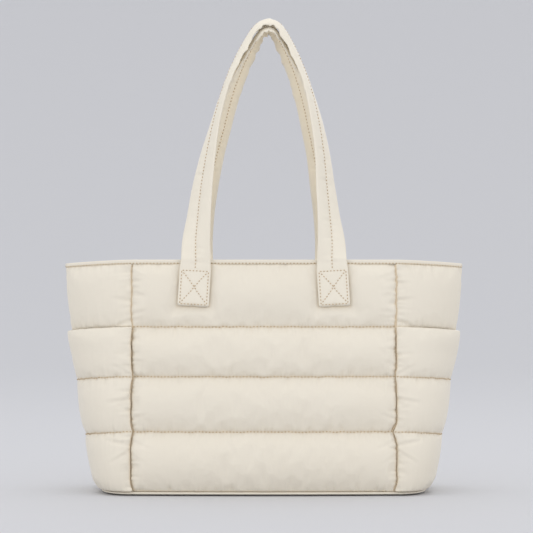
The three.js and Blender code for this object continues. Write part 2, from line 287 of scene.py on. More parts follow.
def add_skin(name, columns, ups, place, lining, sewn, cut):
    """Prepare an outer skin for the solver. Of a column and a height, place gives the point where it
    starts, lining the point behind it, sewn how firmly it is pinned, and cut its spot on flat cloth."""
    piece = new_piece(name, sewn_grid(columns, ups, place))
    spots = [(column, up) for up in ups for column in columns]
    pins = piece.vertex_groups.new(name="sewn")
    for index, (column, up) in enumerate(spots):
        pins.add([index], sewn(column, up), "REPLACE")
    cloth = piece.modifiers.new("Cloth", "CLOTH")
    settings = cloth.settings
    settings.quality = 6
    settings.mass = 0.15
    settings.tension_stiffness = 25
    settings.compression_stiffness = 12
    settings.shear_stiffness = 4
    settings.bending_stiffness = 0.06
    settings.tension_damping = 12
    settings.compression_damping = 12
    settings.bending_damping = 1
    settings.air_damping = 2
    settings.vertex_group_mass = "sewn"
    settings.shrink_min = -GROWTH
    settings.use_pressure = True
    settings.uniform_pressure_force = PRESSURE
    settings.effector_weights.gravity = 0
    cloth.collision_settings.use_collision = False
    cloth.point_cache.frame_start = 1
    cloth.point_cache.frame_end = FRAMES
    skins.append({"piece": piece, "spots": spots, "lining": lining, "cut": cut})
    print(name + ":", len(spots), "vertices")


# %% [markdown]
# ### Front and back
# The four rows end in the two vertical corner seams. The strap's tabs are stitched right through the
# padding, so the skin is pinned under them too and swells up again around their edges.

# %% Skins of the front and back
PANEL_PUFF = 8 * MM
SEAM_ROLL = 15 * MM
STRAP_X = 75.5 * MM
TAB_SPLAY = 3 * MM
TAB_WIDTH = 35 * MM
TAB_LENGTH = 40 * MM
TAB_DROP = 12 * MM
TAB_SEAT = 2.5 * MM
TAB_MARGIN = 1.5 * MM
TAB_DIMPLE = 11 * MM
TAB_HELD = 0.995
TAB_TOP = BODY_HEIGHT - TAB_DROP
TAB_BOTTOM = TAB_TOP - TAB_LENGTH


def tab_x(height):
    """Middle of a tab at a height: its foot stands a little further out than its top."""
    return STRAP_X + TAB_SPLAY * clamp((BODY_HEIGHT - height) / (BODY_HEIGHT - TAB_BOTTOM))


def tab_press(x, height):
    """1 under a strap's tab, and 0 well away from it."""
    beside = max(0.0, abs(abs(x) - tab_x(height)) - TAB_WIDTH / 2 - TAB_MARGIN)
    below = max(0.0, TAB_BOTTOM - TAB_MARGIN - height)
    return 1 - ease(math.hypot(beside, below), 0, TAB_DIMPLE)


print(f"tabs: from {TAB_BOTTOM:.3f} to {TAB_TOP:.3f} m up")

# %% [markdown]
# No seam of soft cloth is quite straight. The rows of stitches waver a little, and the corner seams,
# where thick layers meet, waver more. Where a row of stitches meets a corner seam it draws it in, the
# lowest row most of all. All pieces that meet at a seam read the same line, so no gap can open.

# %% Lines of the seams
ROW_STRAY = 0.3 * MM
ROW_PATCH = 14 * MM
PINCH_COLUMNS = ("up", "left", "right")
PINCHES = [dict(zip(PINCH_COLUMNS, row)) for row in (
    (0.262, 2.2, 4.8),
    (0.503, 1.6, 2.0),
    (0.722, 1.1, 1.2),
)]
PINCH_HEIGHT = 7 * MM
CORNER_FADE = 8 * MM
CORNER_STRAY = 1.1 * MM
CORNER_PATCH = 10 * MM
FOOT_ROUND = 4.4 * MM
FOOT_HEIGHT = 13 * MM


def seam_waver(along, seed):
    """How far a line of stitches strays from straight."""
    return ROW_STRAY * noise.noise(Vector((along / ROW_PATCH, seed, 0.5)))


def corner_waver(end, height):
    """The same for a corner seam. At its foot it turns in, because the lower corners of the front and
    the back are cut round."""
    pull = FOOT_ROUND * max(0.0, 1 - (height - WALL_BOTTOM) / FOOT_HEIGHT) ** 2
    for row in PINCHES:
        depth = row["left" if end < 0 else "right"] * MM
        pull += depth * hump(height - height_at(row["up"]), PINCH_HEIGHT)
    return CORNER_STRAY * noise.noise(Vector((height / CORNER_PATCH, end * 3.7, 1.5))) - end * pull


def corner_shift(end, up, away):
    """How far the corner seam's stray still moves the cloth at a distance away from it."""
    return corner_waver(end, height_at(up)) * math.exp(-away / CORNER_FADE) * (0 < up < 1)


strays = [corner_waver(1, height_at(row["up"])) / MM for row in PINCHES]
print("right corner seams pulled in by", [round(-stray, 1) for stray in strays], "mm")

# %% [markdown]
# Now the two skins themselves. Each starts as the swollen form of its four rows, and the solver works
# the creases into it.

# %% Two large skins
def add_panel(name, side):
    columns = with_borders(side * SEAM_X, -side * SEAM_X, 2 * SEAM_X)
    ups = cut_row(ROWS, WALL_TOP - WALL_BOTTOM)
    seams = [row["low"] for row in ROWS] + [1.0]

    def swell(x, up):
        return row_swell(ROWS, up) * full(clamp((SEAM_X - abs(x)) / SEAM_ROLL) / 2, 0.42)

    def place(x, up):
        out = mix(PANEL_PUFF * swell(x, up), TAB_SEAT, tab_press(x, height_at(up)))
        point = panel_point(side, x, up, out)
        point.z += seam_waver(x, up * 9 + side) * (1 - swell(x, up)) * (0 < up < 1)
        point.x += corner_shift(math.copysign(1, x), up, SEAM_X - abs(x))
        return point

    def lining(x, up):
        return panel_point(side, x, up, -SEAM_WALL - LINING_PUFF * swell(x, up))

    def sewn(x, up):
        on_edge = abs(x) > SEAM_X - CELL / 2
        on_seam = min(abs(up - seam) for seam in seams) < 1e-6
        return 1.0 if on_edge or on_seam or tab_press(x, height_at(up)) > TAB_HELD else 0.0

    def cut(x, up):
        return x, height_at(up)

    add_skin(name, columns, ups, place, lining, sewn, cut)


add_panel("front_panel_skin", -1)
add_panel("back_panel_skin", 1)

# %% [markdown]
# ### Gussets and pockets
# A gusset is one row above the pocket and plain cloth behind it. The pocket is a second padded wall
# over it, with three rows that meet those of the front at the corner seams. Its top edge is free, so
# only its hem is pinned, a few millimetres clear of the gusset.

# %% Skins of the gussets and pockets
GUSSET_PUFF = 6.5 * MM
POCKET_PUFF = 6 * MM
POCKET_BED = 1 * MM
POCKET_GAPE = 3 * MM
GAPE_FROM = 0.6
FOLD_SWELL = 0.1
GUSSET_LENGTH = 185 * MM
POCKET_ROWS = ROWS[:3]
POCKET_TOP = POCKET_ROWS[-1]["high"]


def gusset_swell(turn):
    share = 1 - abs(turn)
    return max(full(share, 0.45), FOLD_SWELL * ease(share, 0, 1))


def gusset_columns(side):
    return with_borders(-side, side, GUSSET_LENGTH)


def gusset_cut(turn, up):
    return turn * GUSSET_LENGTH / 2, height_at(up)


def edge_waver(side, turn, up):
    """The stray of the corner seam, as it fades across a gusset."""
    return corner_shift(side, up, (1 - abs(turn)) * GUSSET_LENGTH / 2)


def add_gusset(name, side):
    ups = cut_row(ROWS, WALL_TOP - WALL_BOTTOM)

    def place(turn, up):
        swell = 0 if up <= POCKET_TOP else gusset_swell(turn) * row_swell(ROWS, up)
        point = gusset_point(side, turn, up, mix(POCKET_BED, GUSSET_PUFF, swell))
        point.x += edge_waver(side, turn, up)
        return point

    def lining(turn, up):
        return gusset_point(side, turn, up, -SEAM_WALL)

    def sewn(turn, up):
        on_edge = abs(turn) > 0.999
        on_seam = up <= POCKET_TOP or up > 0.999
        return 1.0 if on_edge or on_seam else 0.0

    add_skin(name, gusset_columns(side), ups, place, lining, sewn, gusset_cut)


def pocket_bed(turn, up):
    opening = ease(up, GAPE_FROM, POCKET_TOP) * math.sin(math.pi * abs(turn))
    return POCKET_BED + CLEARANCE + POCKET_GAPE * opening


def add_pocket(name, side):
    ups = cut_row(POCKET_ROWS, WALL_TOP - WALL_BOTTOM)
    seams = [row["low"] for row in POCKET_ROWS] + [POCKET_TOP]

    def place(turn, up):
        swell = gusset_swell(turn) * row_swell(POCKET_ROWS, up)
        point = gusset_point(side, turn, up, pocket_bed(turn, up) + SEAM_WALL + POCKET_PUFF * swell)
        point.z += seam_waver(turn * GUSSET_LENGTH, up * 7 + side) * (1 - swell) * (0 < up)
        point.x += edge_waver(side, turn, up)
        return point

    def lining(turn, up):
        return gusset_point(side, turn, up, pocket_bed(turn, up))

    def sewn(turn, up):
        on_edge = abs(turn) > 0.999
        return 1.0 if on_edge or min(abs(up - seam) for seam in seams) < 1e-6 else 0.0

    add_skin(name, gusset_columns(side), ups, place, lining, sewn, gusset_cut)


for side, end in ((-1, "left"), (1, "right")):
    add_gusset(f"gusset_{end}_skin", side)
    add_pocket(f"side_pocket_{end}_skin", side)

# %% [markdown]
# ### Stepping the solver
# The solver works frame by frame. All skins are stepped together, because Blender evaluates them in
# parallel. Then the last frame's points are read, and a cap on how far a point may move keeps a wild
# fold out of the neighbouring piece.

# %% Step the solver
MOVE_CAP = 5 * MM
started = {skin["piece"].name: [v.co.copy() for v in skin["piece"].data.vertices] for skin in skins}
for frame_number in range(1, FRAMES + 1):
    scene.frame_set(frame_number)
depsgraph = bpy.context.evaluated_depsgraph_get()
for skin in skins:
    piece = skin["piece"]
    moved = piece.evaluated_get(depsgraph).to_mesh()
    start = started[piece.name]
    travel = [moved.vertices[i].co - start[i] for i in range(len(start))]
    skin["points"] = [
        start[i] + move * min(1.0, MOVE_CAP / max(move.length, 1e-9)) for i, move in enumerate(travel)
    ]
    print(piece.name, "moved by up to", round(max(move.length for move in travel) / MM, 1), "mm")
    piece.evaluated_get(depsgraph).to_mesh_clear()
    piece.modifiers.clear()
scene.frame_set(1)

# %% [markdown]
# ## From skin to padded piece
# Solidify gives the skin its second side and closes the edges. That side is then laid onto the
# lining's own surface. One level of subdivision rounds the cells off, and after it the gathers go
# in: short pleats that start at the stitches, run straight away from them and fade, each with its
# own length. They are worked out on the flat cloth, so they follow the seam and not the air.

# %% Gathers
PLEAT_PITCH = 4.2 * MM
PLEAT_REACH = 6.5 * MM
PLEAT_HEIGHT = 3.4 * MM
STITCH_BITE = 1.6 * MM
SHORTEST_PLEAT = 0.35
REACH_SPREAD = 1.3
REACH_PATCH = 11 * MM
PLEAT_DRIFT = 0.25
DRIFT_PATCH = 40 * MM
PLEAT_RIDGE = 0.35
PLEAT_CREASE = 1.7


def pleats(along, away, seed):
    """Height of the gathers at a distance along a seam and away from it."""
    spread = REACH_SPREAD * abs(noise.noise(Vector((along / REACH_PATCH, seed, 1.7))))
    reach = PLEAT_REACH * (SHORTEST_PLEAT + spread)
    fade = math.exp(-abs(away) / reach) * (1 - math.exp(-abs(away) / STITCH_BITE))
    drift = away * PLEAT_DRIFT * noise.noise(Vector((along / DRIFT_PATCH, seed, 4.1)))
    wave = noise.noise(Vector(((along + drift) / PLEAT_PITCH, seed, 0.3 * math.copysign(1, away))))
    return PLEAT_HEIGHT * fade * (PLEAT_RIDGE - PLEAT_CREASE * abs(wave))


# %% [markdown]
# Tucks are single creases that run from a corner seam into the cloth beside it, where its extra width
# is taken in. A noise could place them, but each real one has a place of its own, so they are a table.
# height: where one starts. slope: how steeply it rises. length: in metres. depth: in millimetres.

# %% Tucks
TUCK_COLUMNS = ("height", "slope", "length", "depth")
PANEL_TUCKS = [dict(zip(TUCK_COLUMNS, row)) for row in (
    (0.062, -0.55, 0.028, 0.9),
    (0.047, -0.85, 0.02, 0.5),
    (0.084, 0.4, 0.022, 0.8),
    (0.118, 0.3, 0.016, 0.5),
    (0.143, 0.45, 0.018, 0.6),
    (0.173, -0.35, 0.018, 0.6),
    (0.2, 0.3, 0.02, 0.7),
    (0.226, -0.5, 0.018, 0.5),
    (0.248, -0.6, 0.024, 0.6),
)]
POCKET_TUCKS = [dict(zip(TUCK_COLUMNS, row)) for row in (
    (0.132, 0.9, 0.02, 0.9),
    (0.107, -0.2, 0.026, 1.3),
    (0.094, 0.55, 0.016, 0.7),
    (0.056, 0.25, 0.03, 1.6),
    (0.05, -0.7, 0.026, 1.0),
    (0.155, 0.15, 0.018, 0.6),
)]
GUSSET_TUCKS = [dict(zip(TUCK_COLUMNS, row)) for row in (
    (0.194, -0.45, 0.018, 1.3),
    (0.215, 0.2, 0.022, 0.7),
    (0.236, -0.15, 0.016, 0.5),
)]
TUCK_WIDTH = 1.9 * MM
TUCK_STRENGTH = 1.7
TUCK_BEND = 0.25
TUCK_START = 0.4
TUCK_RIDGE = 0.5


def tuck_depth(rows, across, height):
    """How deep the tucks are at a distance in from the corner seam. Each has a ridge above it."""
    total = 0.0
    for row in rows:
        share = across / row["length"]
        off = height - row["height"] - row["slope"] * across * (1 - TUCK_BEND * share)
        fade = max(0.0, 1 - share) * (TUCK_START + share)
        crease = hump(off, TUCK_WIDTH) - TUCK_RIDGE * hump(off - 2 * TUCK_WIDTH, TUCK_WIDTH)
        total += TUCK_STRENGTH * row["depth"] * MM * fade * crease
    return total


print(len(PANEL_TUCKS) + len(POCKET_TUCKS) + len(GUSSET_TUCKS), "tucks")

# %% [markdown]
# The steps of one piece, in their order: the solver's points, solidify, the lining, subdivision, and
# the gathers. Two attributes ride along on the mesh. One says where a vertex lies on the flat cloth,
# which also becomes the UV map, and the other how near it is to a seam, for the painted shade there.

# %% From skin to pad
def baked(piece, name):
    """A new piece with one level of subdivision worked into its mesh."""
    smooth = piece.modifiers.new("Smooth", "SUBSURF")
    smooth.levels = 1
    smooth.render_levels = 1
    depsgraph = bpy.context.evaluated_depsgraph_get()
    mesh = bpy.data.meshes.new_from_object(piece.evaluated_get(depsgraph))
    bpy.data.objects.remove(piece)
    mesh.name = name
    result = bpy.data.objects.new(name, mesh)
    scene.collection.objects.link(result)
    mesh.shade_smooth()
    return result


def finish_skin(skin, name, gather):
    """Close a skin into a padded wall, smooth it and gather it along its seams."""
    shape = bmesh.new()
    shape.from_mesh(skin["piece"].data)
    cut_layer = shape.verts.layers.float_vector.new("cut")
    spot_layer = shape.verts.layers.float_vector.new("spot")
    shape.verts.ensure_lookup_table()
    for index, vertex in enumerate(shape.verts):
        spot = skin["spots"][index]
        vertex.co = skin["points"][index]
        vertex[cut_layer] = (*skin["cut"](*spot), 1.0)
        vertex[spot_layer] = (*spot, 0.0)
    outside = len(shape.verts)
    shape.normal_update()
    bmesh.ops.solidify(shape, geom=shape.faces[:], thickness=SEAM_WALL)
    shape.verts.ensure_lookup_table()
    for vertex in shape.verts[outside:]:
        column, up, _ = vertex[spot_layer]
        vertex.co = skin["lining"](column, up)
        vertex[cut_layer] = (*vertex[cut_layer].xy, 0.0)
    bpy.data.objects.remove(skin["piece"])
    rough = new_piece(name + "_cells", shape)
    fine = baked(rough, name)
    cuts = [tuple(cut.vector) for cut in fine.data.attributes["cut"].data]
    gathered = [gather(across, height) for across, height, _ in cuts]
    normals = [vertex.normal.copy() for vertex in fine.data.vertices]
    for vertex, (_, _, outer), (lift, _), normal in zip(fine.data.vertices, cuts, gathered, normals):
        vertex.co += normal * lift * ease(outer, 0.5, 1)
    # painted shade: how much the material darkens the cloth near a seam and round a tab
    seam = fine.data.attributes.new("seam", "FLOAT", "POINT")
    seam.data.foreach_set("value", [painted_shade for _, painted_shade in gathered])
    uv = fine.data.uv_layers.new(name="Cloth")
    for loop in fine.data.loops:
        uv.data[loop.index].uv = cuts[loop.vertex_index][:2]
    return fine


# %% [markdown]
# Every seam of a piece adds its own pleats. The same function says how near a point is to a seam,
# which the material uses later to paint shade: the cloth is painted a little darker and yellower
# down in a stitched groove, and round a strap's tab, where the tab casts its shadow. The seams lie at
# the same heights as in the solids, and those beside the corners gather most.

# %% Pad the skins
EDGE_GATHER = 1.2
# widths of the painted shade beside the rows, the corner seams and the tabs
ROW_SHADE_REACH = 2 * MM
EDGE_SHADE_REACH = 2.5 * MM
TAB_SHADOW_REACH = 4.5 * MM


def near(away, width):
    return math.exp(-abs(away) / width)


def gather_rows(heights, half_width, seed, tabs, tucks):
    """For one piece, a function from a spot on its flat cloth to the lift there and its painted shade."""
    def gather(across, height):
        lift = sum(pleats(across, height - row, seed + i) for i, row in enumerate(heights))
        edge = half_width - abs(across)
        lift += EDGE_GATHER * pleats(height, edge, seed + 20 + math.copysign(3, across))
        lift -= tuck_depth(tucks, edge, height)
        # painted shade in the stitched grooves of the rows and along the corner seams
        painted_shade = max([near(height - row, ROW_SHADE_REACH) for row in heights] + [near(edge, EDGE_SHADE_REACH)])
        if tabs:
            # painted shadow round the edge of a strap's tab
            beside = abs(abs(across) - tab_x(height)) - TAB_WIDTH / 2
            painted_shade = max(painted_shade, near(max(beside, TAB_BOTTOM - height), TAB_SHADOW_REACH))
        return lift, painted_shade
    return gather


panel_seams = [height_at(row["low"]) for row in ROWS] + [WALL_TOP]
gusset_seams = [height_at(POCKET_TOP), WALL_TOP]
pocket_seams = panel_seams[:3]
seams_and_tucks = {"gusset": (gusset_seams, GUSSET_TUCKS), "side_pocket": (pocket_seams, POCKET_TUCKS)}
pads = {}
for number, skin in enumerate(skins):
    solid = skin["piece"].name.removesuffix("_skin")
    tabs = solid.endswith("panel")
    half_width = SEAM_X if tabs else GUSSET_LENGTH / 2
    seams, tucks = seams_and_tucks.get(solid.rsplit("_", 1)[0], (panel_seams, PANEL_TUCKS))
    gather = gather_rows(seams, half_width, 7.3 * number, tabs, tucks)
    pad = finish_skin(skin, solid + "_padded", gather)
    pads[solid] = pad
    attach(pad, "root")
    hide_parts(solid)
    print(pad.name, len(pad.data.polygons), "faces")

# %% [markdown]
# ## Round the body
# The rim and the base run right round the bag. A spin can't make them, because the bag isn't round,
# so one short profile is carried along the body's own line: a grid has one column for each place
# round the bag and one row for each point of the profile, and its two ends are merged.

# %% Carried profiles
ROUND_STEP = 4 * MM


def body_line(up, out):
    """Points right round the body at a height, anticlockwise from above."""
    along = round(2 * SEAM_X / ROUND_STEP)
    around = round(GUSSET_LENGTH / ROUND_STEP)
    xs = run(-SEAM_X, SEAM_X, along)
    turns = run(-1, 1, around)[1:-1]
    return (
        [panel_point(-1, x, up, out) for x in xs]
        + [gusset_point(1, turn, up, out) for turn in turns]
        + [panel_point(1, -x, up, out) for x in xs]
        + [gusset_point(-1, -turn, up, out) for turn in turns]
    )


def carried_round(name, profile, closed):
    """Carry a profile of (height share, out, lift) round the body."""
    lines = [[point + Vector((0, 0, lift)) for point in body_line(up, out)] for up, out, lift in profile]
    lines = [line + line[:1] for line in lines]
    if closed:
        lines.append(lines[0])
    columns = range(len(lines[0]))
    shape = sewn_grid(columns, range(len(lines)), lambda column, row: lines[row][column].copy())
    bmesh.ops.remove_doubles(shape, verts=shape.verts[:], dist=0.01 * MM)
    if not closed:
        bmesh.ops.holes_fill(shape, edges=[e for e in shape.edges if e.is_boundary], sides=0)
    bmesh.ops.recalc_face_normals(shape, faces=shape.faces[:])
    return new_piece(name, shape)


# %% [markdown]
# ### Corner seams
# Where two padded pieces meet at a corner, their edges are folded in and sewn together, which leaves a
# narrow fold along the seam. The two pads alone would leave a dark gap there. So each seam gets a
# strip of its own, a low arch across that strays with the seam and swells and thins a little, and
# solidify gives it the thickness of the cloth. Its cloth is painted tan and brown, as painted shade
# for the shadow down in the fold.

# %% Corner seams
TAPE_HALF = 1.1 * MM
TAPE_LOW = -1.2 * MM
TAPE_HIGH = 0.9 * MM
TAPE_SHOULDER = 0.6 * TAPE_HIGH
TAPE_ARCH = [(-1, TAPE_LOW), (-0.7, TAPE_SHOULDER), (0, TAPE_HIGH), (0.7, TAPE_SHOULDER), (1, TAPE_LOW)]
TAPE_ENDS = 0.004
TAPE_STEPS = 150
TAPE_SWELL = 0.35
TAPE_PATCH = 2.6 * MM
TAPE_THICKNESS = 0.5 * MM


def tape_strip(end, side):
    """The folded edges of two pieces where they are sewn together, as one narrow strip."""
    def place(column, up):
        across, out = TAPE_ARCH[column]
        height = height_at(up)
        pinch = 1 + TAPE_SWELL * noise.noise(Vector((height / TAPE_PATCH, end * 5, side * 3)))
        x = end * (SEAM_X + CLEARANCE / 2) + corner_waver(end, height) + across * TAPE_HALF * pinch
        return Vector((x, side * (seam_depth(up) + out * pinch), height))

    shape = sewn_grid(range(len(TAPE_ARCH)), run(TAPE_ENDS, 1 - TAPE_ENDS, TAPE_STEPS), place)
    bmesh.ops.recalc_face_normals(shape, faces=shape.faces[:])
    return shape


def joined(shapes):
    """One bmesh made of several, which it uses up."""
    whole = bmesh.new()
    for shape in shapes:
        part = bpy.data.meshes.new("part")
        shape.to_mesh(part)
        shape.free()
        whole.from_mesh(part)
        bpy.data.meshes.remove(part)
    return whole


taped = joined([tape_strip(end, side) for end in (-1, 1) for side in (-1, 1)])
bmesh.ops.solidify(taped, geom=taped.faces[:], thickness=TAPE_THICKNESS)
tape = new_piece("corner_seam_edges", taped)
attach(tape, "root")
print("corner seams:", len(tape.data.polygons), "faces")

# %% [markdown]
# ### Rim
# The rim is the top edge of the walls folded over once and stitched down, so it is a soft roll with a
# row of stitches in the groove under it. Its profile is a closed line of a dozen points: out from the
# wall as a share of how proud the roll stands, and up as a share of its height.

# %% Rim roll
RIM_BAND = BODY_HEIGHT - WALL_TOP - CLEARANCE
RIM_PROUD = 1 * MM
ROLL = [
    (0.2, -0.22),
    (0.9, 0.08),
    (1.0, 0.35),
    (0.95, 0.65),
    (0.7, 0.88),
    (0.3, 0.98),
    (-1.6, 1.0),
    (-2.5, 0.85),
    (-2.75, 0.5),
    (-2.5, 0.1),
    (-1.9, 0.0),
    (-0.6, 0.0),
]
profile = [(1.0, RIM_PROUD * out, CLEARANCE + RIM_BAND * lift) for out, lift in ROLL]
rim = carried_round("rim_band_folded", profile, closed=True)
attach(rim, "root")
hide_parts("rim_band")
print("rim:", len(rim.data.polygons), "faces")

# %% [markdown]
# ### Base
# The base is a flat pad whose edge shows as a thin line of cloth all round, and the walls stand on it.
# A bevelled box would have straight sides, so its edge is carried round the body too, and the top and
# the underside are filled in flat. The points are millimetres out, and shares of the pad's height.

# %% Base
BASE_HEIGHT = WALL_BOTTOM - CLEARANCE
EDGE = [
    (-26, 1.0),
    (-8, 1.0),
    (-1.5, 1.0),
    (0.9, 0.93),
    (1.7, 0.79),
    (1.8, 0.6),
    (1.3, 0.47),
    (-0.4, 0.37),
    (-6.5, 0.12),
    (-9, 0.0),
    (-26, 0.0),
]
profile = [(0.0, out * MM, BASE_HEIGHT * lift - WALL_BOTTOM) for out, lift in EDGE]
base = carried_round("base_panel_padded", profile, closed=False)
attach(base, "root")
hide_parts("base_panel")
print("base:", len(base.data.polygons), "faces")

# %% [markdown]
# ## Straps
# Each strap is one long strip of cloth, folded to its middle over thin padding and stitched along it.
# It faces forwards where it is sewn on and turns edge-on as it rises, because the two straps are
# drawn together at the top, where they also curl over lengthwise. Straps are modelled directly: a
# solver would lose their flat section. The path is a table again, from the rim to the highest point.

# %% Path of a strap
STRAP_WIDTH = 33 * MM
STRAP_THICKNESS = 5 * MM
STRAP_RISE = 271 * MM
STRAP_SHIFT = 6 * MM
STRAP_STEP = 2.2 * MM
TAB_STEPS = 12
ARCH_STEPS = 90
STRAPS_APART = 8.8 * MM
STRAP_CURL = math.radians(36)
STRAP_ARCH_COLUMNS = ("rise", "reach", "shift", "left", "right", "back", "apart", "curl")
STRAP_ARCH = [dict(zip(STRAP_ARCH_COLUMNS, row)) for row in (
    (0.0, 1.0, 0.0, 0.0, 0.0, 0.0, 0.0, 0.0),
    (0.05, 1.0, 0.0, 0.12, 0.16, 0.14, 0.03, 0.0),
    (0.18, 0.96, 0.0, 0.39, 0.44, 0.42, 0.22, 0.0),
    (0.28, 0.923, 0.02, 0.49, 0.53, 0.5, 0.44, 0.0),
    (0.43, 0.855, 0.25, 0.65, 0.65, 0.59, 0.74, 0.0),
    (0.585, 0.754, 0.45, 0.83, 0.75, 0.66, 1.0, 0.2),
    (0.737, 0.608, 0.6, 0.93, 0.89, 0.7, 0.97, 0.5),
    (0.845, 0.454, 0.7, 0.935, 0.93, 0.8, 0.93, 0.8),
    (0.92, 0.318, 0.78, 0.95, 0.95, 0.88, 0.92, 1.0),
    (0.972, 0.198, 0.85, 0.97, 0.97, 0.94, 0.93, 1.0),
    (0.992, 0.105, 0.92, 0.99, 0.99, 0.97, 0.95, 1.0),
    (1.0, 0.0, 1.0, 1.0, 1.0, 1.0, 0.95, 1.0),
)]
TAB_TURN = math.atan(2 * PANEL_BOW * STRAP_X * section("bow", 1) / SEAM_X ** 2)


def evenly(points, step):
    """Points at equal distances along a line of points, with both of its ends."""
    lengths = [0.0]
    for before, after in zip(points, points[1:]):
        lengths.append(lengths[-1] + (after - before).length)
    pieces = round(lengths[-1] / step)
    result = []
    place = 1
    for i in range(pieces + 1):
        at = lengths[-1] * i / pieces
        while place < len(points) - 1 and lengths[place] < at:
            place += 1
        share = (at - lengths[place - 1]) / (lengths[place] - lengths[place - 1])
        result.append(points[place - 1].lerp(points[place], clamp(share)))
    return result


def strap_path(side):
    """Middle line of a strap, from the foot of its left tab to the foot of its right one."""
    seat = TAB_SEAT + CLEARANCE + STRAP_THICKNESS / 2

    def on_panel(x, height):
        point = panel_point(side, x, min(share_at(height), 1), seat)
        return Vector((point.x, point.y, height))

    rim_y = on_panel(STRAP_X, BODY_HEIGHT).y
    left = [on_panel(-tab_x(height), height) for height in run(TAB_BOTTOM, BODY_HEIGHT, TAB_STEPS)]
    right = [on_panel(tab_x(height), height) for height in run(TAB_BOTTOM, BODY_HEIGHT, TAB_STEPS)]
    for share in run(0, 1, ARCH_STEPS)[1:]:
        rise = math.sin(math.pi / 2 * share)
        reach = STRAP_X * read(STRAP_ARCH, "rise", "reach", rise)
        y = rim_y * (1 - rise)
        z = BODY_HEIGHT + STRAP_RISE * rise
        shift = STRAP_SHIFT * read(STRAP_ARCH, "rise", "shift", rise)
        left.append(Vector((shift - reach, y, z)))
        right.append(Vector((shift + reach, y, z)))
    return evenly(left + right[:-1][::-1], STRAP_STEP)


def strap_frames(side):
    """Middle, directions and shape of a strap at each step along it."""
    path = strap_path(side)
    frames = []
    for i, middle in enumerate(path):
        along = (path[min(i + 2, len(path) - 1)] - path[max(i - 2, 0)]).normalized()
        rise = clamp((middle.z - BODY_HEIGHT) / STRAP_RISE)
        facing = (Vector((0, side, 0)) - along * side * along.y).normalized()
        outwards = Vector((-along.z, 0, along.x)).normalized()
        leg = "back" if side > 0 else "left" if i < len(path) / 2 else "right"
        turn = mix(TAB_TURN, math.pi / 2, read(STRAP_ARCH, "rise", leg, rise))
        apart = STRAPS_APART * read(STRAP_ARCH, "rise", "apart", rise) if side > 0 else 0
        on_tab = 1 - ease(middle.z, TAB_TOP, BODY_HEIGHT)
        frames.append({
            "middle": middle - outwards * apart,
            "normal": facing * math.cos(turn) + outwards * math.sin(turn),
            "wide": outwards * math.cos(turn) - facing * math.sin(turn),
            "half": mix(STRAP_WIDTH, TAB_WIDTH, on_tab) / 2,
            "curl": max(STRAP_CURL * read(STRAP_ARCH, "rise", "curl", rise), 0.001),
            "on_tab": on_tab,
            "at": i * STRAP_STEP,
            "rise": rise,
        })
    return frames


# %% [markdown]
# The section of the strap is two soft lobes beside the stitched middle. Where the strap curls at the
# top, the inside of the bend has too much cloth, so its edges stand in lumps, and the tabs are
# pressed flat by their stitches, a box with a cross in it.

# %% Section of a strap
ACROSS = [-1, -0.985, -0.93, -0.82, -0.66, -0.48, -0.3, -0.16, -0.08, 0]
ACROSS += [-a for a in ACROSS[-2::-1]]
FACES = [(a, 1) for a in ACROSS] + [(a, -1) for a in ACROSS[::-1]] + [(-1, 1)]
BOX_INSET = 2.6 * MM
BOX_FROM = 0.2
CROSS_REACH = 0.9
STITCH_DENT = 0.6 * MM
DENT_HALF = 1.5 * MM
SEAM_DENT = 0.9 * MM
SEAM_HALF = 2.8 * MM
EDGE_POWER = 3.2
STRAP_GATHER = 0.75
LUMP_FROM = 0.55
LUMP_FULL = 0.92
LUMP_PATCH = 8.5 * MM
LUMP_WIDTH = 0.17
LUMP_HEIGHT = 1.3 * MM
LUMP_CURL = 0.55


def box_lines():
    """Stitched lines of a tab as pairs of ends, in metres across and up from the tab's foot."""
    x = TAB_WIDTH / 2 - BOX_INSET
    low, high = BOX_INSET, TAB_LENGTH
    corners = [(-x, low), (x, low), (x, high), (-x, high)]
    sides = list(zip(corners, corners[1:] + corners[:1]))
    inner = [(mix(0, cx, CROSS_REACH), mix((low + high) / 2, cy, CROSS_REACH)) for cx, cy in corners]
    return sides + [(inner[0], inner[2]), (inner[1], inner[3])]


def from_line(point, line):
    """How far a point is from a stitched line."""
    (ax, ay), (bx, by) = line
    dx, dy = bx - ax, by - ay
    share = clamp(((point[0] - ax) * dx + (point[1] - ay) * dy) / (dx * dx + dy * dy))
    return math.hypot(point[0] - ax - share * dx, point[1] - ay - share * dy)


def strap_point(f, across, face, side):
    """A point of a strap's surface, with the dents, pleats and lumps that its stitches make."""
    curl, half, at = f["curl"], f["half"], f["at"]
    ramp = ease(f["rise"], LUMP_FROM, LUMP_FULL)
    seed = side * 5 + (3 if across > 0 else 0)
    lump = noise.noise(Vector((at / LUMP_PATCH, seed, 0.2)))
    half = half * (1 + LUMP_WIDTH * ramp * lump * abs(across) ** 3)
    edge = max(0.0, 1 - abs(across) ** EDGE_POWER) ** 0.5
    thick = STRAP_THICKNESS / 2 * edge
    if face > 0 or not f["on_tab"]:
        thick -= SEAM_DENT * hump(across * half, SEAM_HALF) * (1 - f["on_tab"])
    thick += STRAP_GATHER * pleats(at, across * half, seed + 30) * (1 - f["on_tab"]) * edge
    thick += ramp * LUMP_HEIGHT * lump * edge * abs(across)
    curl = curl * (1 + LUMP_CURL * ramp * lump * across ** 2)
    height = f["middle"].z - TAB_BOTTOM
    if f["on_tab"] > BOX_FROM and face > 0:
        spot = (across * half, height)
        dent = max(hump(from_line(spot, line), DENT_HALF) for line in box_lines())
        thick -= STITCH_DENT * dent * edge
    bend = across * curl
    up = f["normal"] * math.cos(bend) + f["wide"] * math.sin(bend)
    arc = f["wide"] * (half / curl * math.sin(bend)) - f["normal"] * (half / curl * (1 - math.cos(bend)))
    return f["middle"] + arc + up * (face * thick)
